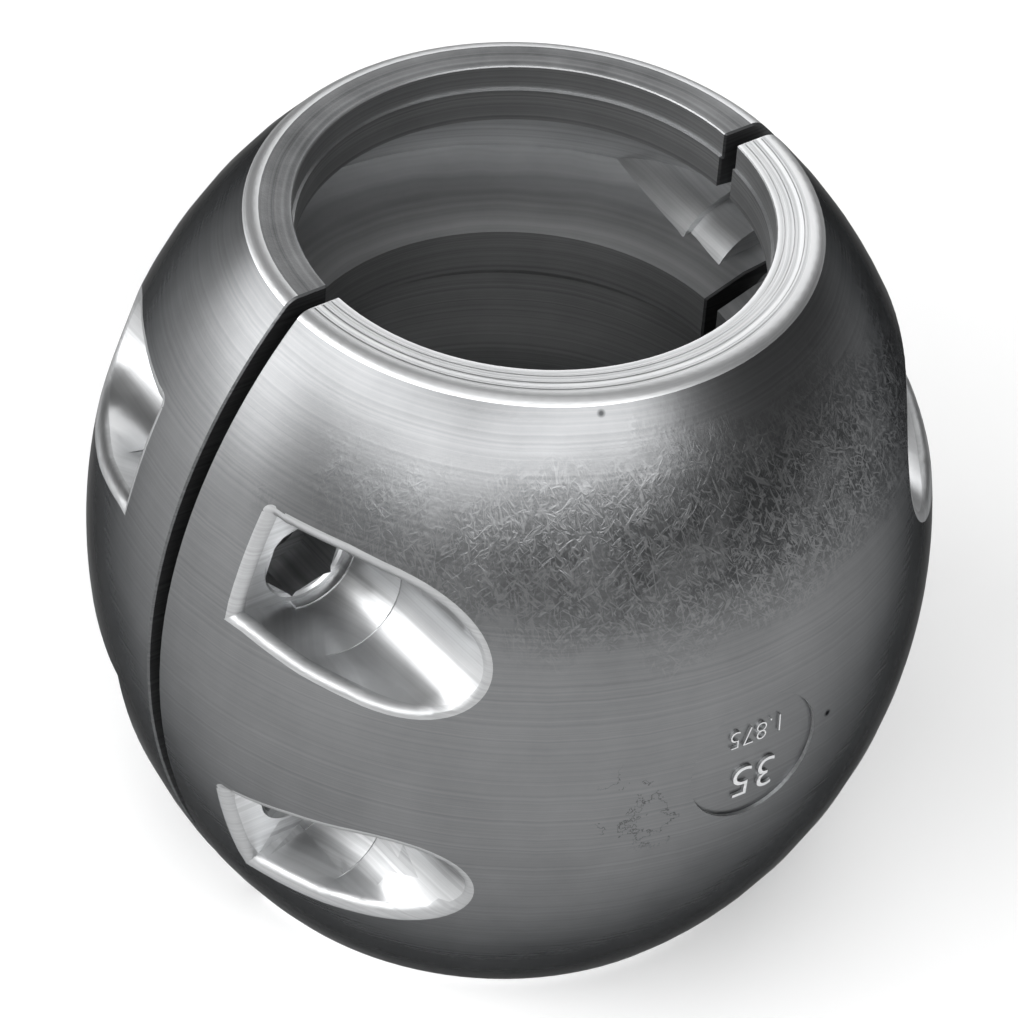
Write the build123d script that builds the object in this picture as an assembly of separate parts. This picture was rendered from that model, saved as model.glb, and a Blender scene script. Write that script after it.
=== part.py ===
from build123d import *
from math import cos, radians, sin, sqrt
import os

# A barrel-shaped split collar anode for a propeller shaft, cast in zinc.
# Two like halves meet with a clamping gap between them, and bolts across
# the gap pull them onto the shaft. +Z runs along the shaft, the gap lies on
# Y = 0, and the origin is at the middle of the lower end face.

# Outer form, and the metal between the bore and the belly
length = 98.3
bore_radius = 30.0
belly_wall = 24.5
belly_arc_radius = 74.0
rim_round = 2.6
split_gap = 2.4
gap_chamfer = 0.25

# Bore: an entry step at each end, two end lands and two middle lands
entry_step_rise = 0.4
entry_step_depth = 3.6
entry_chamfer = 0.15
end_land_length = 8.3
middle_land_top = 26.8
middle_land_bottom = 33.1
relief_shoulder_rise = 1.8
relief_shoulder_depth = 35.1
relief_rise = 4.0

# Ring-shaped cavity between each end land and its middle land
shell_thickness = 5.2
cavity_ceiling_fall = 0.6
cavity_floor_outer_depth = 23.7
cavity_floor_bend_rise = 6.0
cavity_floor_bend_depth = 24.8

# Bolts cross the gap along Y, two on each side of the shaft
bolt_axis_depth = 13.3
bolt_axis_from_middle = 19.7
bolt_hole_diameter = 6.6
bolt_hole_chamfer = 0.9
nut_across_flats = 10.2
nut_turn = 15.0
nut_floor_y = 6.0
nut_mouth_chamfer = 0.35

# Bolt pockets: a flat end wall, a round counterbore and an open trough
pocket_wall_y = 12.6
counterbore_radius = 6.5
counterbore_rim_y = 14.0
trough_start_radius = 6.7
trough_line_y = 22.4
trough_line_radius = 7.8
trough_line_width = 0.25
trough_line_depth = 0.12
trough_end_y = 54.0
trough_end_radius = 9.0
trough_tilt = 16.0
trough_draft = 4.0
trough_reach = 37.5
mouth_round = 1.6

# Bosses that stand in the cavity round the bolt seats and behind the troughs
seat_boss_radius = 8.0
seat_boss_start_y = 4.6
trough_boss_radius = 8.9
trough_boss_start_y = 11.4
trough_boss_end_radius = 8.8
trough_boss_end_y = 34.0

# Shallow round panel for the size mark at the middle of each half
mark_radius = 9.5
mark_depth = 0.5

# How far a cut runs past the metal that it removes
cut_margin = 1.0

# Worked out
half_length = length / 2
belly_radius = bore_radius + belly_wall
entry_step_radius = bore_radius + entry_step_rise
relief_shoulder_radius = bore_radius + relief_shoulder_rise
relief_radius = bore_radius + relief_rise
cavity_floor_bend_radius = bore_radius + cavity_floor_bend_rise
bolt_axis_x = belly_radius - bolt_axis_depth
arc_centre_radius = belly_radius - belly_arc_radius
reach = 2 * belly_radius
bolt_levels = (half_length + bolt_axis_from_middle, half_length - bolt_axis_from_middle)


def arc_radius_at(height, inset=0.0):
    """Radius of the barrel, or of a skin inset below it, at a height above the lower end."""
    from_middle = height - half_length
    return arc_centre_radius + sqrt((belly_arc_radius - inset) ** 2 - from_middle**2)


def turned(outline):
    """Solid of revolution about the shaft axis from a closed outline drawn in X and Z."""
    return revolve(make_face(outline), Axis.Z)


def both_ends(top_cut):
    """A cut at the upper end together with its mirror image at the lower end."""
    return [top_cut, mirror(top_cut, about=Plane.XY.offset(half_length))]


def barrel(inset=0.0):
    """Full barrel, its skin inset by the given depth."""
    end_radius = arc_radius_at(0, inset)
    outline = Wire(
        [
            Edge.make_line((0, 0, 0), (end_radius, 0, 0)),
            Edge.make_three_point_arc(
                (end_radius, 0, 0), (belly_radius - inset, 0, half_length), (end_radius, 0, length)
            ),
            Edge.make_line((end_radius, 0, length), (0, 0, length)),
            Edge.make_line((0, 0, length), (0, 0, 0)),
        ]
    )
    return turned(outline)


def bore_cuts():
    """The shaft bore with its entry steps, and the relief between the middle lands."""
    through = Cylinder(bore_radius, length, align=(Align.CENTER, Align.CENTER, Align.MIN))
    step_floor = length - entry_step_depth
    step = turned(
        Wire.make_polygon(
            [
                (0, 0, step_floor),
                (entry_step_radius, 0, step_floor),
                (entry_step_radius, 0, length - entry_chamfer),
                (entry_step_radius + entry_chamfer, 0, length),
                (0, 0, length),
            ]
        )
    )
    land_end = length - middle_land_bottom
    shoulder = length - relief_shoulder_depth
    relief = turned(
        Wire.make_polygon(
            [
                (0, 0, land_end),
                (bore_radius, 0, land_end),
                (relief_shoulder_radius, 0, shoulder),
                (relief_radius, 0, half_length),
                (relief_shoulder_radius, 0, length - shoulder),
                (bore_radius, 0, length - land_end),
                (0, 0, length - land_end),
            ]
        )
    )
    return [through, relief] + both_ends(step)


def cavity_cut():
    """The ring cavity at the upper end; its outer wall runs parallel to the barrel."""
    ceiling_inner = length - end_land_length
    ceiling_outer = ceiling_inner - cavity_ceiling_fall
    floor_outer = length - cavity_floor_outer_depth
    wall_middle = (ceiling_outer + floor_outer) / 2
    inside = bore_radius - cut_margin
    inner_ceiling = (inside, 0, ceiling_inner)
    outer_ceiling = (arc_radius_at(ceiling_outer, shell_thickness), 0, ceiling_outer)
    outer_floor = (arc_radius_at(floor_outer, shell_thickness), 0, floor_outer)
    land_edge = (bore_radius, 0, length - middle_land_top)
    inner_floor = (inside, 0, length - middle_land_top)
    outline = Wire(
        [
            Edge.make_line(inner_ceiling, (bore_radius, 0, ceiling_inner)),
            Edge.make_line((bore_radius, 0, ceiling_inner), outer_ceiling),
            Edge.make_three_point_arc(
                outer_ceiling, (arc_radius_at(wall_middle, shell_thickness), 0, wall_middle), outer_floor
            ),
            Edge.make_line(outer_floor, (cavity_floor_bend_radius, 0, length - cavity_floor_bend_depth)),
            Edge.make_line((cavity_floor_bend_radius, 0, length - cavity_floor_bend_depth), land_edge),
            Edge.make_line(land_edge, inner_floor),
            Edge.make_line(inner_floor, inner_ceiling),
        ]
    )
    return turned(outline)


def trough_section(y, radius):
    """U-shaped face across the bolt axis, open outwards and tilted to the upper end."""
    along = Vector(cos(radians(trough_tilt)), 0, sin(radians(trough_tilt)))
    across = Vector(-sin(radians(trough_tilt)), 0, cos(radians(trough_tilt)))
    centre = Vector(bolt_axis_x, y, bolt_levels[0])
    spread = radius + trough_reach * sin(radians(trough_draft))
    upper = centre + across * radius
    lower = centre - across * radius
    upper_mouth = centre + along * trough_reach + across * spread
    lower_mouth = centre + along * trough_reach - across * spread
    outline = Wire(
        [
            Edge.make_three_point_arc(upper, centre - along * radius, lower),
            Edge.make_line(lower, lower_mouth),
            Edge.make_line(lower_mouth, upper_mouth),
            Edge.make_line(upper_mouth, upper),
        ]
    )
    return make_face(outline)


def trough_run(sections):
    """Straight-sided solid through U-shaped sections, given as (y, radius) pairs."""
    faces = [trough_section(y, radius) for y, radius in sections]
    return loft(faces, ruled=True)


def along_y(radius, start_y, end_y):
    """Round bar on the upper bolt axis between two distances from the gap plane."""
    bar = Cylinder(radius, end_y - start_y, align=(Align.CENTER, Align.CENTER, Align.MIN))
    return Pos(bolt_axis_x, start_y, bolt_levels[0]) * Rot(-90, 0, 0) * bar


def cone_along_y(start_radius, end_radius, start_y, end_y):
    """Cone on the upper bolt axis, for the chamfer of a hole."""
    cone = Cone(start_radius, end_radius, end_y - start_y, align=(Align.CENTER, Align.CENTER, Align.MIN))
    return Pos(bolt_axis_x, start_y, bolt_levels[0]) * Rot(-90, 0, 0) * cone


def bosses():
    """Metal round one upper bolt seat and behind its trough, on the +X, +Y side."""
    seat_boss = along_y(seat_boss_radius, seat_boss_start_y, trough_boss_start_y)
    trough_boss = trough_run(
        [(trough_boss_start_y, trough_boss_radius), (trough_boss_end_y, trough_boss_end_radius)]
    )
    return [seat_boss, trough_boss]


def pocket():
    """One upper bolt pocket on the +X, +Y side, without the bolt hole."""
    counterbore = along_y(counterbore_radius, pocket_wall_y, counterbore_rim_y)
    near_trough = trough_run(
        [(counterbore_rim_y, trough_start_radius), (trough_line_y, trough_line_radius)]
    )
    far_trough = trough_run(
        [(trough_line_y, trough_line_radius), (trough_end_y, trough_end_radius)]
    )
    mouth_floor = trough_run(
        [(pocket_wall_y, trough_start_radius), (counterbore_rim_y, trough_start_radius)]
    )
    inner_side = Pos(bolt_axis_x, pocket_wall_y, bolt_levels[0]) * Rot(0, -trough_tilt, 0) * Box(
        reach, reach, reach, align=(Align.MAX, Align.CENTER, Align.CENTER)
    )
    return [counterbore, near_trough, far_trough, mouth_floor - inner_side]


def mouth_edges(casting):
    """The edges where the pockets open through the barrel's skin."""
    skin = max(casting.faces(), key=lambda face: face.area)
    off_gap = skin.edges().filter_by_position(Axis.Y, split_gap, belly_radius)
    return off_gap.filter_by_position(Axis.Z, rim_round, length - rim_round)


def trough_line():
    """Fine tool mark across a trough's round floor."""
    return along_y(trough_line_radius + trough_line_depth, trough_line_y, trough_line_y + trough_line_width)


def plain_seat():
    """Round bolt hole with a chamfered mouth, for a bolt's head."""
    hole_radius = bolt_hole_diameter / 2
    mouth_radius = hole_radius + bolt_hole_chamfer
    return [
        along_y(hole_radius, 0, pocket_wall_y),
        cone_along_y(hole_radius, mouth_radius, pocket_wall_y - bolt_hole_chamfer, pocket_wall_y),
    ]


def nut_seat():
    """Hexagonal seat that keeps a nut from turning, with the bolt hole behind it."""
    plane = Plane(origin=(bolt_axis_x, nut_floor_y, bolt_levels[0]), x_dir=(1, 0, 0), z_dir=(0, 1, 0))
    hexagon = RegularPolygon(nut_across_flats / 2, 6, major_radius=False, rotation=nut_turn)
    socket = extrude(plane * hexagon, pocket_wall_y - nut_floor_y)
    corner_radius = nut_across_flats / 2 / cos(radians(30))
    mouth = cone_along_y(
        corner_radius - nut_mouth_chamfer,
        corner_radius,
        pocket_wall_y - nut_mouth_chamfer,
        pocket_wall_y,
    )
    return [along_y(bolt_hole_diameter / 2, 0, nut_floor_y), socket, mouth]


def at_station(pieces, left, lower):
    """Move upper right pieces to another of the four bolt stations of a half."""
    placed = pieces
    if left:
        placed = [mirror(piece, about=Plane.YZ) for piece in placed]
    if lower:
        placed = [mirror(piece, about=Plane.XY.offset(half_length)) for piece in placed]
    return placed


def half_casting():
    """The half on the +Y side, as it is cast and then bored."""
    blank = barrel()
    rims = blank.edges().filter_by(GeomType.CIRCLE).filter_by(Plane.XY)
    blank = fillet(rims, rim_round)
    own_side = Pos(0, split_gap / 2, half_length) * Box(
        reach, reach, reach, align=(Align.CENTER, Align.MIN, Align.CENTER)
    )
    blank = blank & own_side

    casting = blank - both_ends(cavity_cut())
    stations = [(left, lower) for left in (False, True) for lower in (False, True)]
    for left, lower in stations:
        for boss in at_station(bosses(), left, lower):
            casting = casting + (boss & blank)

    for left, lower in stations:
        casting = casting - at_station(pocket(), left, lower)
    casting = fillet(mouth_edges(casting), mouth_round)

    # Nut seats lie at upper right and lower left, plain seats at the other two
    for left, lower in stations:
        seat = nut_seat() if left == lower else plain_seat()
        casting = casting - at_station(seat + [trough_line()], left, lower)
    casting = casting - bore_cuts()

    mark = Pos(0, belly_radius, half_length) * Rot(90, 0, 0) * Cylinder(mark_radius, belly_radius)
    casting = casting - (mark - barrel(mark_depth))
    gap_faces = casting.faces().filter_by(GeomType.PLANE).group_by(Axis.Y)[0]
    return chamfer(gap_faces.edges(), gap_chamfer)


back_half = half_casting()
front_half = Rot(0, 0, 180) * back_half

os.makedirs("parts", exist_ok=True)
export_step(back_half, "parts/back_half.step")
export_step(front_half, "parts/front_half.step")
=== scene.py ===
import bpy
import math
from collections import Counter
from mathutils import Matrix, Vector


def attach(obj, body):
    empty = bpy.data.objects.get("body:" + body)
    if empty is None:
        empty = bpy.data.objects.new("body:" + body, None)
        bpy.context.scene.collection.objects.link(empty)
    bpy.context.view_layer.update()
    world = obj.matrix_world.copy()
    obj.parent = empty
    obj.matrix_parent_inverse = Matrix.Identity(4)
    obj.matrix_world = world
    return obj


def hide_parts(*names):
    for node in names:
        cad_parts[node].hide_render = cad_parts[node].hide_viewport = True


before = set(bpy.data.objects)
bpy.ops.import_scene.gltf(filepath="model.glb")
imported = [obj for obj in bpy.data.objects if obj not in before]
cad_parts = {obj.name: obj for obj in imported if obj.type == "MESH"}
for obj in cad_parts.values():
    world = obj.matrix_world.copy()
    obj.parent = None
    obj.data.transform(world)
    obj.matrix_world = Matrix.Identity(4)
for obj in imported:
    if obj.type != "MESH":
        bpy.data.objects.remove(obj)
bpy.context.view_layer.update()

# The two halves. Each is one zinc casting: the barrel's skin and the end faces are turned, the bore's
# lands are bored, the bolt pockets are milled, and the ring cavities are left as cast. Each piece is
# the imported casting's own shape, merged, with its faces sorted by how they were made.
MM = 0.001
LENGTH = 98.3
MIDDLE = LENGTH / 2
BELLY_RADIUS = 54.5
BELLY_ARC = 74.0


def linear(hex_colour):
    """Linear colour of an sRGB hex value."""
    parts = [int(hex_colour[i : i + 2], 16) / 255 for i in (1, 3, 5)]
    return [v / 12.92 if v <= 0.04045 else ((v + 0.055) / 1.055) ** 2.4 for v in parts] + [1.0]


def add_node(tree, kind, settings=None, links=None):
    """Adds a node, sets its properties and its inputs' values, and links its inputs."""
    node = tree.nodes.new(kind)
    for key, value in (settings or {}).items():
        if isinstance(key, int) or key in node.inputs:
            node.inputs[key].default_value = value
        else:
            setattr(node, key, value)
    for key, source in (links or {}).items():
        tree.links.new(source, node.inputs[key])
    return node


# Tool lines run level round the barrel, or in rings on an end face. The real feed is about 0.15 mm, too
# fine to show here, so each finish below draws its lines 0.5 mm or more apart. They wander a little, as
# the tool does, and blotches about 11 mm across stand for the zinc's uneven dulling.
LINE_WANDER = 0.6
LINE_WANDER_SCALE = 0.06
BLOTCH_SCALE = 0.09
EVEN_TONE = (0.3, 0.7)


def zinc(name, colour, dark, roughness, lines, grain, blotch=0.4, edge=0.25):
    """Bare zinc with tool lines (their run, pitch and depth) and grain (its size and depth), in mm."""
    run, line_pitch, line_depth = lines
    grain_size, grain_depth = grain
    material = bpy.data.materials.new(name)
    material.use_nodes = True
    tree = material.node_tree
    tree.nodes.clear()
    place = add_node(tree, "ShaderNodeTexCoord").outputs["Object"]
    millimetres = add_node(
        tree,
        "ShaderNodeVectorMath",
        {"name": "millimetres", "operation": "SCALE", "Scale": 1 / MM},
        {0: place},
    ).outputs[0]
    axes = add_node(tree, "ShaderNodeSeparateXYZ", {"name": "axes"}, {0: millimetres}).outputs
    level = add_node(tree, "ShaderNodeCombineXYZ", links={"X": axes["X"], "Y": axes["Y"]}).outputs[0]
    radius = add_node(
        tree, "ShaderNodeVectorMath", {"operation": "LENGTH"}, {0: level}
    ).outputs["Value"]
    across_lines = axes["Z"] if run == "level" else radius
    drift = add_node(
        tree,
        "ShaderNodeTexNoise",
        {"Scale": LINE_WANDER_SCALE, "Detail": 2.0},
        {"Vector": millimetres},
    ).outputs["Fac"]
    wandering = add_node(
        tree,
        "ShaderNodeMath",
        {"operation": "MULTIPLY_ADD", 1: LINE_WANDER},
        {0: drift, 2: across_lines},
    ).outputs[0]
    tool_lines = add_node(
        tree,
        "ShaderNodeTexNoise",
        {"noise_dimensions": "1D", "Scale": 1 / line_pitch, "Detail": 3.0, "Roughness": 0.7},
        {"W": wandering},
    ).outputs["Fac"]
    crystals = add_node(
        tree,
        "ShaderNodeTexNoise",
        {"Scale": 1 / grain_size, "Detail": 4.0, "Roughness": 0.65},
        {"Vector": millimetres},
    ).outputs["Fac"]
    blotches = add_node(
        tree,
        "ShaderNodeTexNoise",
        {"Scale": BLOTCH_SCALE, "Detail": 5.0, "Roughness": 0.62},
        {"Vector": millimetres},
    ).outputs["Fac"]
    mottled = add_node(
        tree,
        "ShaderNodeMath",
        {"operation": "MULTIPLY_ADD", 1: blotch},
        {0: blotches, 2: tool_lines},
    ).outputs[0]
    shade = add_node(
        tree,
        "ShaderNodeMapRange",
        {"From Min": EVEN_TONE[0] * (1 + blotch), "From Max": EVEN_TONE[1] * (1 + blotch)},
        {"Value": mottled},
    ).outputs[0]
    tone = add_node(
        tree,
        "ShaderNodeMix",
        {"name": "tone", "data_type": "RGBA", 6: linear(dark), 7: linear(colour)},
        {0: shade},
    ).outputs[2]
    line_bump = add_node(
        tree,
        "ShaderNodeBump",
        {"Strength": 1.0, "Distance": line_depth * MM},
        {"Height": tool_lines},
    ).outputs[0]
    grain_bump = add_node(
        tree,
        "ShaderNodeBump",
        {"name": "grain", "Strength": 1.0, "Distance": grain_depth * MM},
        {"Height": crystals, "Normal": line_bump},
    ).outputs[0]
    surface = add_node(
        tree,
        "ShaderNodeBsdfPrincipled",
        {
            "name": "surface",
            "Metallic": 1.0,
            "Roughness": roughness,
            "Specular Tint": (edge, edge, edge, 1.0),
        },
        {"Base Color": tone, "Normal": grain_bump},
    ).outputs[0]
    add_node(tree, "ShaderNodeOutputMaterial", links={"Surface": surface})
    return material


# The skin's handling marks: a dull band of short crossed scuffs round the front's shoulder, darkened
# partly by grime and partly by painted shade (angles in degrees, sizes in mm), two small pits, and a
# thin wandering scribble below the middle. Real scuffs are about 0.1 mm wide, too fine to show here, so
# they are drawn about 0.7 mm wide.
SCUFF_SHADE_AZIMUTH = 2.0
SCUFF_SHADE_HALF_SWEEP = 72.0
SCUFF_SHADE_HEIGHT = 81.0
SCUFF_SHADE_HALF_HEIGHT = 13.0
SCUFF_SHADE_CLOUD_SCALE = 0.11
SCUFF_SHADE_RAGGEDNESS = 1.6
SCUFF_DEPTH = 0.05
STROKE_TURN = math.radians(34)
STROKE_WIDTH = 0.7
STROKE_LENGTH = 2.4
# The band's dark colour stands partly for grime and partly for painted shade.
GRIME_AND_SHADE = "#424344"
RUBBED = "#ACADAE"
RUBBED_SHARE = 0.2
PITS = ((-14.0, -34.6, 96.8), (11.9, -53.1, 50.2))
PIT_RADIUS = 0.65
PIT_COLOUR = "#3A3B3C"
SCRIBBLE_PLACE = (-14.0, -52.5, 46.5)
SCRIBBLE_REACH = 9.0
SCRIBBLE_SCALE = 0.12
SCRIBBLE_COLOUR = "#2E2F30"


def scuffs_and_painted_shade(material):
    """Adds the handling marks, and the painted shade in the scuffed band, to the turned skin."""
    tree = material.node_tree
    millimetres = tree.nodes["millimetres"].outputs[0]
    axes = tree.nodes["axes"].outputs

    # The band is an ellipse on the unrolled skin, with a ragged edge.
    forward = add_node(
        tree, "ShaderNodeMath", {"operation": "MULTIPLY", 1: -1.0}, {0: axes["Y"]}
    ).outputs[0]
    azimuth = add_node(
        tree, "ShaderNodeMath", {"operation": "ARCTAN2"}, {0: axes["X"], 1: forward}
    ).outputs[0]
    sweep = add_node(
        tree,
        "ShaderNodeMath",
        {
            "operation": "MULTIPLY_ADD",
            1: math.degrees(1) / SCUFF_SHADE_HALF_SWEEP,
            2: -SCUFF_SHADE_AZIMUTH / SCUFF_SHADE_HALF_SWEEP,
        },
        {0: azimuth},
    ).outputs[0]
    lift = add_node(
        tree,
        "ShaderNodeMath",
        {
            "operation": "MULTIPLY_ADD",
            1: 1 / SCUFF_SHADE_HALF_HEIGHT,
            2: -SCUFF_SHADE_HEIGHT / SCUFF_SHADE_HALF_HEIGHT,
        },
        {0: axes["Z"]},
    ).outputs[0]
    from_centre = add_node(tree, "ShaderNodeCombineXYZ", links={"X": sweep, "Y": lift}).outputs[0]
    away = add_node(
        tree, "ShaderNodeVectorMath", {"operation": "LENGTH"}, {0: from_centre}
    ).outputs["Value"]
    clouds = add_node(
        tree,
        "ShaderNodeTexNoise",
        {"Scale": SCUFF_SHADE_CLOUD_SCALE, "Detail": 4.0, "Roughness": 0.7},
        {"Vector": millimetres},
    ).outputs["Fac"]
    ragged = add_node(
        tree,
        "ShaderNodeMath",
        {"operation": "MULTIPLY_ADD", 1: SCUFF_SHADE_RAGGEDNESS, 2: -0.5 * SCUFF_SHADE_RAGGEDNESS},
        {0: clouds},
    ).outputs[0]
    ragged_away = add_node(
        tree, "ShaderNodeMath", {"operation": "ADD"}, {0: away, 1: ragged}
    ).outputs[0]
    band = add_node(
        tree, "ShaderNodeMapRange", {"From Min": 1.05, "From Max": 0.45}, {"Value": ragged_away}
    ).outputs[0]

    # The strokes run three ways and cross.
    round_way = add_node(
        tree, "ShaderNodeMath", {"operation": "MULTIPLY", 1: BELLY_RADIUS}, {0: azimuth}
    ).outputs[0]
    unrolled = add_node(
        tree, "ShaderNodeCombineXYZ", links={"X": round_way, "Y": axes["Z"]}
    ).outputs[0]
    strokes = None
    for turn in (STROKE_TURN, -STROKE_TURN, 2.2 * STROKE_TURN):
        turned = add_node(
            tree, "ShaderNodeMapping", {"Rotation": (0.0, 0.0, turn)}, {"Vector": unrolled}
        ).outputs[0]
        drawn = add_node(
            tree,
            "ShaderNodeMapping",
            {
                "Scale": (1 / STROKE_LENGTH, 1 / STROKE_WIDTH, 1.0),
                "Location": (10 * turn, 0.0, 0.0),
            },
            {"Vector": turned},
        ).outputs[0]
        one_way = add_node(
            tree,
            "ShaderNodeTexNoise",
            {
                "noise_dimensions": "2D",
                "Scale": 1.0,
                "Detail": 2.0,
                "Roughness": 0.55,
                "Distortion": 1.4,
            },
            {"Vector": drawn},
        ).outputs["Fac"]
        if strokes is None:
            strokes = one_way
        else:
            strokes = add_node(
                tree, "ShaderNodeMath", {"operation": "MAXIMUM"}, {0: strokes, 1: one_way}
            ).outputs[0]

    # Grime and painted shade lie between the strokes, thicker in patches, and the strokes themselves
    # are rubbed bright.
    between = add_node(
        tree,
        "ShaderNodeMapRange",
        {"From Min": 0.64, "From Max": 0.52, "To Min": 0.05, "To Max": 0.85},
        {"Value": strokes},
    ).outputs[0]
    patches = add_node(
        tree,
        "ShaderNodeMapRange",
        {"From Min": 0.42, "From Max": 0.56, "To Min": 0.4},
        {"Value": clouds},
    ).outputs[0]
    patched = add_node(
        tree, "ShaderNodeMath", {"operation": "MULTIPLY"}, {0: between, 1: patches}
    ).outputs[0]
    grime_and_shade = add_node(
        tree, "ShaderNodeMath", {"operation": "MULTIPLY"}, {0: patched, 1: band}
    ).outputs[0]
    colour = add_node(
        tree,
        "ShaderNodeMix",
        {"data_type": "RGBA", 7: linear(GRIME_AND_SHADE)},
        {0: grime_and_shade, 6: tree.nodes["tone"].outputs[2]},
    ).outputs[2]
    creases = add_node(
        tree,
        "ShaderNodeMapRange",
        {"From Min": 0.62, "From Max": 0.72, "To Max": RUBBED_SHARE},
        {"Value": strokes},
    ).outputs[0]
    rubbed = add_node(
        tree, "ShaderNodeMath", {"operation": "MULTIPLY"}, {0: creases, 1: band}
    ).outputs[0]
    colour = add_node(
        tree, "ShaderNodeMix", {"data_type": "RGBA", 7: linear(RUBBED)}, {0: rubbed, 6: colour}
    ).outputs[2]

    for pit_place in PITS:
        from_pit = add_node(
            tree,
            "ShaderNodeVectorMath",
            {"operation": "DISTANCE", 1: pit_place},
            {0: millimetres},
        ).outputs["Value"]
        pit = add_node(
            tree,
            "ShaderNodeMapRange",
            {"From Min": PIT_RADIUS, "From Max": 0.4 * PIT_RADIUS},
            {"Value": from_pit},
        ).outputs[0]
        colour = add_node(
            tree, "ShaderNodeMix", {"data_type": "RGBA", 7: linear(PIT_COLOUR)}, {0: pit, 6: colour}
        ).outputs[2]

    # The scribble is drawn where a slow noise passes its middle value.
    from_scribble = add_node(
        tree,
        "ShaderNodeVectorMath",
        {"operation": "DISTANCE", 1: SCRIBBLE_PLACE},
        {0: millimetres},
    ).outputs["Value"]
    scribble_area = add_node(
        tree,
        "ShaderNodeMapRange",
        {"From Min": SCRIBBLE_REACH, "From Max": 0.8 * SCRIBBLE_REACH},
        {"Value": from_scribble},
    ).outputs[0]
    wander = add_node(
        tree,
        "ShaderNodeTexNoise",
        {"Scale": SCRIBBLE_SCALE, "Detail": 6.0, "Roughness": 0.6},
        {"Vector": millimetres},
    ).outputs["Fac"]
    past_middle = add_node(
        tree, "ShaderNodeMath", {"operation": "SUBTRACT", 1: 0.5}, {0: wander}
    ).outputs[0]
    from_line = add_node(
        tree, "ShaderNodeMath", {"operation": "ABSOLUTE"}, {0: past_middle}
    ).outputs[0]
    thin_line = add_node(
        tree,
        "ShaderNodeMapRange",
        {"From Min": 0.006, "From Max": 0.002, "To Max": 0.6},
        {"Value": from_line},
    ).outputs[0]
    scribble = add_node(
        tree, "ShaderNodeMath", {"operation": "MULTIPLY"}, {0: thin_line, 1: scribble_area}
    ).outputs[0]
    colour = add_node(
        tree,
        "ShaderNodeMix",
        {"data_type": "RGBA", 7: linear(SCRIBBLE_COLOUR)},
        {0: scribble, 6: colour},
    ).outputs[2]

    relief = add_node(
        tree, "ShaderNodeMath", {"operation": "MULTIPLY"}, {0: strokes, 1: band}
    ).outputs[0]
    scuff_bump = add_node(
        tree,
        "ShaderNodeBump",
        {"Strength": 1.0, "Distance": SCUFF_DEPTH * MM},
        {"Height": relief, "Normal": tree.nodes["grain"].outputs[0]},
    ).outputs[0]
    surface = tree.nodes["surface"]
    tree.links.new(colour, surface.inputs["Base Color"])
    tree.links.new(scuff_bump, surface.inputs["Normal"])
    return material


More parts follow.
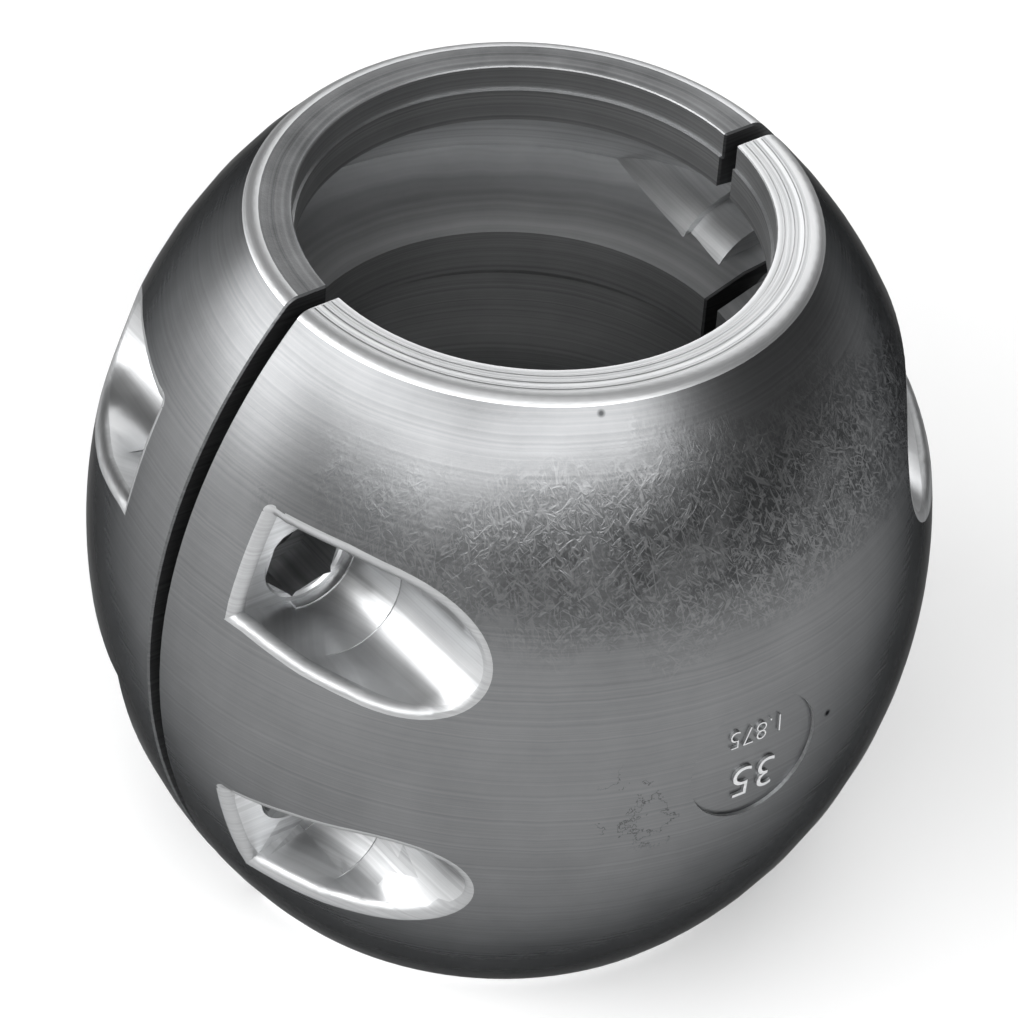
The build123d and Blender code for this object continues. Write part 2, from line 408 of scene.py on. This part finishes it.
FINISHES = {
    # Skin turned on a lathe and dulled by handling: a soft grey sheen, streaked round the barrel, with
    # grime and painted shade in its scuffed band.
    "turned_skin": scuffs_and_painted_shade(
        zinc(
            "turned_zinc_skin",
            "#7C7D7E",
            "#6A6B6C",
            roughness=0.34,
            lines=("level", 0.5, 0.0025),
            grain=(0.6, 0.012),
            blotch=0.8,
            edge=0.1,
        )
    ),
    # Zinc faced across the end: pale, with bright and dark rings from the tool's feed.
    "faced_end": zinc(
        "faced_zinc_end",
        "#D0D1D2",
        "#9C9D9E",
        roughness=0.36,
        lines=("rings", 0.8, 0.02),
        grain=(0.4, 0.01),
        blotch=0.2,
    ),
    # The other end face, barely cleaned up: the crystal grain of the casting breaks up its shine.
    "grainy_end": zinc(
        "grainy_zinc_end",
        "#949596",
        "#525354",
        roughness=0.5,
        lines=("rings", 0.6, 0.004),
        grain=(0.5, 0.05),
        blotch=0.9,
    ),
    # The pockets' mouths, rounded by file: a fine rough grain that catches a broad light.
    "rounded_lip": zinc(
        "filed_zinc_lip",
        "#B4B5B6",
        "#9FA0A1",
        roughness=0.45,
        lines=("level", 0.5, 0.0),
        grain=(0.6, 0.012),
    ),
    # The step round the sunk panel, and the figures: painted highlight, a pale colour that stands for
    # the light their edges catch, so they read as thin lines.
    "panel_step": zinc(
        "pale_zinc_step_painted_highlight",
        "#E0E1E2",
        "#C8C9CA",
        roughness=0.42,
        lines=("level", 0.5, 0.0),
        grain=(0.5, 0.006),
        blotch=0.3,
    ),
    # The drilled and broached seats: dull, and darker than the pocket as painted shade of these deep
    # holes, so they stay dark within the pockets.
    "bolt_seat": zinc(
        "drilled_zinc_seat_painted_shade",
        "#9C9D9E",
        "#7C7D7E",
        roughness=0.5,
        lines=("level", 0.5, 0.0),
        grain=(0.5, 0.006),
    ),
    # The turned rim between end face and barrel: freshly cut and bright.
    "turned_rim": zinc(
        "turned_zinc_rim",
        "#DCDDDE",
        "#C4C5C6",
        roughness=0.45,
        lines=("level", 0.5, 0.002),
        grain=(0.5, 0.006),
    ),
    # The bored lands: grooved finely by the boring tool, which shows as level lines.
    "bored": zinc(
        "bored_zinc",
        "#B8B9BA",
        "#909192",
        roughness=0.5,
        lines=("level", 0.5, 0.006),
        grain=(0.4, 0.004),
    ),
    # The pockets' inside, cut by a round-ended mill: smooth, with a clear soft highlight.
    "milled_pocket": zinc(
        "milled_zinc_pocket",
        "#CACBCC",
        "#AEAFB0",
        roughness=0.36,
        lines=("level", 0.9, 0.001),
        grain=(0.5, 0.003),
    ),
    # The ring cavities, left as they came from the mould: a matt silver with faint level ripples.
    "cast_cavity": zinc(
        "cast_zinc_cavity",
        "#C2C3C4",
        "#9E9FA0",
        roughness=0.48,
        lines=("level", 0.7, 0.008),
        grain=(0.5, 0.004),
    ),
    # The faces of the gap, sawn and left: dark and dull.
    "sawn_gap": zinc(
        "sawn_zinc_gap",
        "#6E6F70",
        "#4E4F50",
        roughness=0.5,
        lines=("level", 0.6, 0.0),
        grain=(0.4, 0.01),
        blotch=0.6,
    ),
}


def barrel_radius(height, inset=0.0):
    """The barrel's radius in mm at a height above its lower end, less an inset of its skin."""
    rise = math.sqrt((BELLY_ARC - inset) ** 2 - (height - MIDDLE) ** 2)
    return BELLY_RADIUS - BELLY_ARC + rise


def skin_normal(point):
    """Outward direction of the barrel's skin at a point in mm."""
    ring = math.hypot(point.x, point.y)
    share = (ring - BELLY_RADIUS + BELLY_ARC) / ring
    return Vector((point.x * share, point.y * share, point.z - MIDDLE)).normalized()


# Where each finish begins and ends on a casting, in mm. Heights count from the collar's middle, and
# depths from the barrel's skin.
SURFACE_NEAR = 0.02
GAP_FACE = 1.45
RIM_HEIGHT = 1.0
RIM_START = 34.5
LAND_RADIUS = 30.7
RELIEF_RADIUS = 34.1
RELIEF_REACH = 16.3
CAVITY_START = 22.3
CAVITY_END = 41.2
CAVITY_WALL = 5.0
PANEL_REACH = 9.7
PANEL_EDGE = 0.6
PANEL_STEP = 0.3
LIP_DEPTH = 1.75
BOLT_X = 41.2
BOLT_LEVEL = 19.7
SEAT_REACH = 6.2
SEAT_WALL_Y = 12.2


def how_made(centre, corners, front):
    """The finish of a face, from where it lies on the casting, in mm."""
    rings = [math.hypot(p.x, p.y) for p in corners]
    depths = [barrel_radius(p.z) - r for r, p in zip(rings, corners)]
    ring = math.hypot(centre.x, centre.y)
    level = abs(centre.z - MIDDLE)
    if max(abs(depth) for depth in depths) < SURFACE_NEAR:
        return "turned_skin"
    if all(abs(abs(p.z - MIDDLE) - MIDDLE) < SURFACE_NEAR for p in corners):
        return "faced_end" if front else "grainy_end"
    if abs(centre.y) < GAP_FACE:
        return "sawn_gap"
    if level > MIDDLE - RIM_HEIGHT and min(rings) > RIM_START:
        return "turned_rim"
    if max(rings) < LAND_RADIUS or (max(rings) < RELIEF_RADIUS and level < RELIEF_REACH):
        return "bored"
    if CAVITY_START < level < CAVITY_END and ring < barrel_radius(centre.z, CAVITY_WALL):
        return "cast_cavity"
    if max(depths) < PANEL_EDGE and math.hypot(centre.x, level) < PANEL_REACH:
        # The panel's steep step takes the step's pale finish, a painted highlight.
        return "panel_step" if max(depths) - min(depths) > PANEL_STEP else "turned_skin"
    if max(depths) < LIP_DEPTH:
        return "rounded_lip"
    # The seats round the bolts take the seat finish, whose darker colour is painted shade.
    from_bolt = math.hypot(abs(centre.x) - BOLT_X, level - BOLT_LEVEL)
    if abs(centre.y) < SEAT_WALL_Y and from_bolt < SEAT_REACH:
        return "bolt_seat"
    return "milled_pocket"


def joined(places, faces):
    """The corners to keep where several lie together, and the faces between them, less stray ones."""
    seen = {}
    kept = []
    number_of = []
    for i, place in enumerate(places):
        key = tuple(round(v, 4) for v in place)
        if key not in seen:
            seen[key] = len(kept)
            kept.append(i)
        number_of.append(seen[key])
    faces = [[number_of[i] for i in face] for face in faces]
    faces = [face for face in faces if len(set(face)) == len(face)]
    times = Counter(frozenset(face) for face in faces)
    return kept, [face for face in faces if times[frozenset(face)] == 1]


SMOOTH_ANGLE = math.radians(28)


def dressed_casting(node_name, piece_name, front):
    """Replaces a packed casting by a merged copy with true skin normals and a finish for each face."""
    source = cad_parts[node_name].data
    kept, faces = joined(
        [vertex.co / MM for vertex in source.vertices],
        [face.vertices for face in source.polygons],
    )
    points = [source.vertices[i].co.copy() for i in kept]
    places = [point / MM for point in points]
    mesh = bpy.data.meshes.new(piece_name)
    mesh.from_pydata(points, [], faces)
    mesh.update()
    finish_names = list(FINISHES)
    for name in finish_names:
        mesh.materials.append(FINISHES[name])
    for face in mesh.polygons:
        corners = [places[i] for i in face.vertices]
        centre = sum(corners, Vector()) / len(corners)
        face.material_index = finish_names.index(how_made(centre, corners, front))
    mesh.shade_smooth()
    mesh.set_sharp_from_angle(angle=SMOOTH_ANGLE)
    normals = [Vector(corner.vector) for corner in mesh.corner_normals]
    for face in mesh.polygons:
        for corner in face.loop_indices:
            place = places[mesh.loops[corner].vertex_index]
            if abs(math.hypot(place.x, place.y) - barrel_radius(place.z)) > SURFACE_NEAR:
                continue
            true_normal = skin_normal(place)
            if true_normal.angle(face.normal) < SMOOTH_ANGLE:
                normals[corner] = true_normal
    mesh.normals_split_custom_set(normals)
    piece = bpy.data.objects.new(piece_name, mesh)
    bpy.context.collection.objects.link(piece)
    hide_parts(node_name)
    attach(piece, "root")


dressed_casting("front_half", "front_half_casting", front=True)
dressed_casting("back_half", "back_half_casting", front=False)

# The feed ridges of the facing cut on the front half's upper end. They are one with the casting: low
# rings of the same zinc, left by the tool as it moved outwards, and they stop short of the gap. The
# real ones are finer and lower, so these are drawn coarser, to show.
RIDGE_FIRST = 31.6
RIDGE_PITCH = 1.25
RIDGE_COUNT = 3
RIDGE_CROWN = 0.6
RIDGE_RISE = 0.05
RIDGE_STOP = 0.05

ridge_tree = bpy.data.node_groups.new("facing_ridges", "GeometryNodeTree")
ridge_tree.interface.new_socket("Geometry", in_out="OUTPUT", socket_type="NodeSocketGeometry")
RIDGE_SIZES = {
    "First radius": ("NodeSocketFloat", RIDGE_FIRST * MM),
    "Pitch": ("NodeSocketFloat", RIDGE_PITCH * MM),
    "Count": ("NodeSocketInt", RIDGE_COUNT),
    "Crown radius": ("NodeSocketFloat", RIDGE_CROWN * MM),
    "Centre height": ("NodeSocketFloat", (LENGTH + RIDGE_RISE - RIDGE_CROWN) * MM),
    "Start angle": ("NodeSocketFloat", math.pi + RIDGE_STOP),
    "Sweep angle": ("NodeSocketFloat", math.pi - 2 * RIDGE_STOP),
    "Finish": ("NodeSocketMaterial", FINISHES["faced_end"]),
}
ridge_sockets = {
    name: ridge_tree.interface.new_socket(name, in_out="INPUT", socket_type=kind).identifier
    for name, (kind, _) in RIDGE_SIZES.items()
}
given = add_node(ridge_tree, "NodeGroupInput").outputs
half_circle = add_node(
    ridge_tree,
    "GeometryNodeCurveArc",
    {"Resolution": 96, "Radius": 1.0},
    {"Start Angle": given["Start angle"], "Sweep Angle": given["Sweep angle"]},
).outputs["Curve"]
copies = add_node(
    ridge_tree,
    "GeometryNodeDuplicateElements",
    {"domain": "SPLINE"},
    {"Geometry": half_circle, "Amount": given["Count"]},
).outputs
ridge_radius = add_node(
    ridge_tree,
    "ShaderNodeMath",
    {"operation": "MULTIPLY_ADD"},
    {0: copies["Duplicate Index"], 1: given["Pitch"], 2: given["First radius"]},
).outputs[0]
unit_place = add_node(ridge_tree, "GeometryNodeInputPosition").outputs[0]
ridge_place = add_node(
    ridge_tree,
    "ShaderNodeVectorMath",
    {"operation": "SCALE"},
    {0: unit_place, "Scale": ridge_radius},
).outputs[0]
ridge_paths = add_node(
    ridge_tree,
    "GeometryNodeSetPosition",
    links={"Geometry": copies["Geometry"], "Position": ridge_place},
).outputs[0]
crown = add_node(
    ridge_tree,
    "GeometryNodeCurvePrimitiveCircle",
    {"Resolution": 28},
    {"Radius": given["Crown radius"]},
).outputs["Curve"]
swept = add_node(
    ridge_tree,
    "GeometryNodeCurveToMesh",
    {"Fill Caps": True},
    {"Curve": ridge_paths, "Profile Curve": crown},
).outputs[0]
end_level = add_node(
    ridge_tree, "ShaderNodeCombineXYZ", links={"Z": given["Centre height"]}
).outputs[0]
raised = add_node(
    ridge_tree,
    "GeometryNodeTransform",
    links={"Geometry": swept, "Translation": end_level},
).outputs[0]
realized = add_node(
    ridge_tree, "GeometryNodeRealizeInstances", links={"Geometry": raised}
).outputs[0]
finished = add_node(
    ridge_tree,
    "GeometryNodeSetMaterial",
    links={"Geometry": realized, "Material": given["Finish"]},
).outputs[0]
add_node(ridge_tree, "NodeGroupOutput", links={"Geometry": finished})

ridges = bpy.data.objects.new("facing_ridges", bpy.data.meshes.new("facing_ridges"))
bpy.context.collection.objects.link(ridges)
ridge_maker = ridges.modifiers.new("facing_ridges", "NODES")
ridge_maker.node_group = ridge_tree
for name, (_, value) in RIDGE_SIZES.items():
    ridge_maker[ridge_sockets[name]] = value
ridge_mesh = bpy.data.meshes.new_from_object(
    ridges.evaluated_get(bpy.context.evaluated_depsgraph_get())
)
ridges.modifiers.remove(ridge_maker)
ridges.data = ridge_mesh
ridge_mesh.shade_smooth()
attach(ridges, "root")

# The figures in the front half's round panel. They are cast in one with the half, as thin raised walls
# of the same zinc, and they stand on their heads as the half is set here. Each row gives its figures,
# their size and their base line's height over the panel's middle, in mm.
PANEL_DEPTH = 0.5
FIGURE_ROWS = (("35", 7.4, 0.9), ("1.875", 4.0, -5.5))
FIGURE_THINNING = 0.1
FIGURE_RISE = 0.4
FIGURE_ROOT = 0.3

figure_points = []
figure_faces = []
for figures, size, base in FIGURE_ROWS:
    lettering = bpy.data.curves.new("size_figures", "FONT")
    lettering.body = figures
    lettering.size = size
    lettering.align_x = "CENTER"
    lettering.resolution_u = 6
    lettering.extrude = FIGURE_RISE
    lettering.offset = -FIGURE_THINNING
    holder = bpy.data.objects.new("size_figures", lettering)
    bpy.context.collection.objects.link(holder)
    bpy.context.view_layer.update()
    flat_mesh = bpy.data.meshes.new_from_object(
        holder.evaluated_get(bpy.context.evaluated_depsgraph_get())
    )
    bpy.data.objects.remove(holder)
    bpy.data.curves.remove(lettering)
    first = len(figure_points)
    for vertex in flat_mesh.vertices:
        across = -vertex.co.x
        height = MIDDLE - (vertex.co.y + base)
        rise = FIGURE_RISE if vertex.co.z > 0 else -FIGURE_ROOT
        ring = barrel_radius(height, PANEL_DEPTH) + rise
        figure_points.append(Vector((across, -math.sqrt(ring**2 - across**2), height)))
    figure_faces += [[first + i for i in face.vertices] for face in flat_mesh.polygons]
    bpy.data.meshes.remove(flat_mesh)

kept, figure_faces = joined(figure_points, figure_faces)
figure_mesh = bpy.data.meshes.new("size_figures")
figure_mesh.from_pydata([figure_points[i] * MM for i in kept], [], figure_faces)
figure_mesh.update()
# The figures take the step's pale finish too: a painted highlight on their raised walls.
figure_mesh.materials.append(FINISHES["panel_step"])
size_figures = bpy.data.objects.new("size_figures", figure_mesh)
bpy.context.collection.objects.link(size_figures)
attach(size_figures, "root")

# The studio: a plain floor of white paper, which shows a little lighter than it is lit, long soft lamps
# to the left and in front that draw the highlight round the shoulder, and weaker ones above and behind.
FLOOR_RADIUS = 5.0
FLOOR_SIDES = 64
PAPER_LIFT = 0.14

floor_edge = [
    (FLOOR_RADIUS * math.cos(turn), FLOOR_RADIUS * math.sin(turn), 0)
    for turn in (2 * math.pi * i / FLOOR_SIDES for i in range(FLOOR_SIDES))
]
floor_mesh = bpy.data.meshes.new("floor")
floor_mesh.from_pydata(floor_edge, [], [list(range(FLOOR_SIDES))])
floor = bpy.data.objects.new("floor", floor_mesh)
bpy.context.collection.objects.link(floor)

# White paper: matt and even, with no gloss of its own.
paper = bpy.data.materials.new("white_paper")
paper.use_nodes = True
paper_tree = paper.node_tree
paper_tree.nodes.clear()
sheet = add_node(paper_tree, "ShaderNodeBsdfDiffuse", {"Color": linear("#F4F4F4")}).outputs[0]
rays = add_node(paper_tree, "ShaderNodeLightPath").outputs
seen_or_glossy = add_node(
    paper_tree,
    "ShaderNodeMath",
    {"operation": "MAXIMUM"},
    {0: rays["Is Camera Ray"], 1: rays["Is Glossy Ray"]},
).outputs[0]
shown = add_node(
    paper_tree,
    "ShaderNodeMath",
    {"operation": "MAXIMUM"},
    {0: seen_or_glossy, 1: rays["Is Transmission Ray"]},
).outputs[0]
lifted = add_node(
    paper_tree, "ShaderNodeMath", {"operation": "MULTIPLY", 1: PAPER_LIFT}, {0: shown}
).outputs[0]
glow = add_node(paper_tree, "ShaderNodeEmission", links={"Strength": lifted}).outputs[0]
lit = add_node(paper_tree, "ShaderNodeAddShader", links={0: sheet, 1: glow}).outputs[0]
add_node(paper_tree, "ShaderNodeOutputMaterial", links={"Surface": lit})
floor_mesh.materials.append(paper)

WORLD_STRENGTH = 0.1
world = bpy.data.worlds.new("studio")
bpy.context.scene.world = world
world.use_nodes = True
world.node_tree.nodes.clear()
sky = add_node(
    world.node_tree,
    "ShaderNodeBackground",
    {"Color": linear("#FFFFFF"), "Strength": WORLD_STRENGTH},
).outputs[0]
add_node(world.node_tree, "ShaderNodeOutputWorld", links={"Surface": sky})

# Each lamp: name, azimuth from the front and elevation in degrees, width and height in m, power in W.
LAMP_DISTANCE = 2.0
LAMPS = (
    ("left_lamp", -92, 34, 2.7, 0.65, 37),
    ("front_lamp", -17, 37, 2.1, 0.6, 28),
    ("top_lamp", -45, 76, 1.3, 1.2, 5),
    ("back_lamp", 132, 36, 1.6, 1.0, 12),
    ("left_back_lamp", -132, 13, 1.6, 0.6, 18),
)
for name, azimuth, elevation, width, height, power in LAMPS:
    light = bpy.data.lights.new(name, "AREA")
    light.shape = "RECTANGLE"
    light.size = width
    light.size_y = height
    light.energy = power
    swing, climb = math.radians(azimuth), math.radians(elevation)
    away = Vector(
        (math.sin(swing) * math.cos(climb), -math.cos(swing) * math.cos(climb), math.sin(climb))
    )
    lamp = bpy.data.objects.new(name, light)
    lamp.location = Vector((0, 0, MIDDLE * MM)) + away * LAMP_DISTANCE
    lamp.rotation_euler = away.to_track_quat("Z", "Y").to_euler()
    lamp.visible_camera = False
    bpy.context.collection.objects.link(lamp)

# The camera stands where the photograph was taken from, front left and above: its place in m, and its
# swing to the left, its dip and its roll in radians.
CAMERA_PLACE = (-0.48263, -0.62053, 0.7186)
CAMERA_SWING = 0.661
CAMERA_DIP = 0.705
CAMERA_ROLL = 0.0865
CAMERA_LENS = 282.9

camera_data = bpy.data.cameras.new("camera")
camera_data.lens = CAMERA_LENS
camera_data.clip_start = 0.05
camera = bpy.data.objects.new("camera", camera_data)
bpy.context.collection.objects.link(camera)
camera.matrix_world = (
    Matrix.Translation(CAMERA_PLACE)
    @ Matrix.Rotation(-CAMERA_SWING, 4, "Z")
    @ Matrix.Rotation(math.pi / 2 - CAMERA_DIP, 4, "X")
    @ Matrix.Rotation(CAMERA_ROLL, 4, "Z")
)
bpy.context.scene.camera = camera
bpy.context.scene.view_settings.view_transform = "Standard"
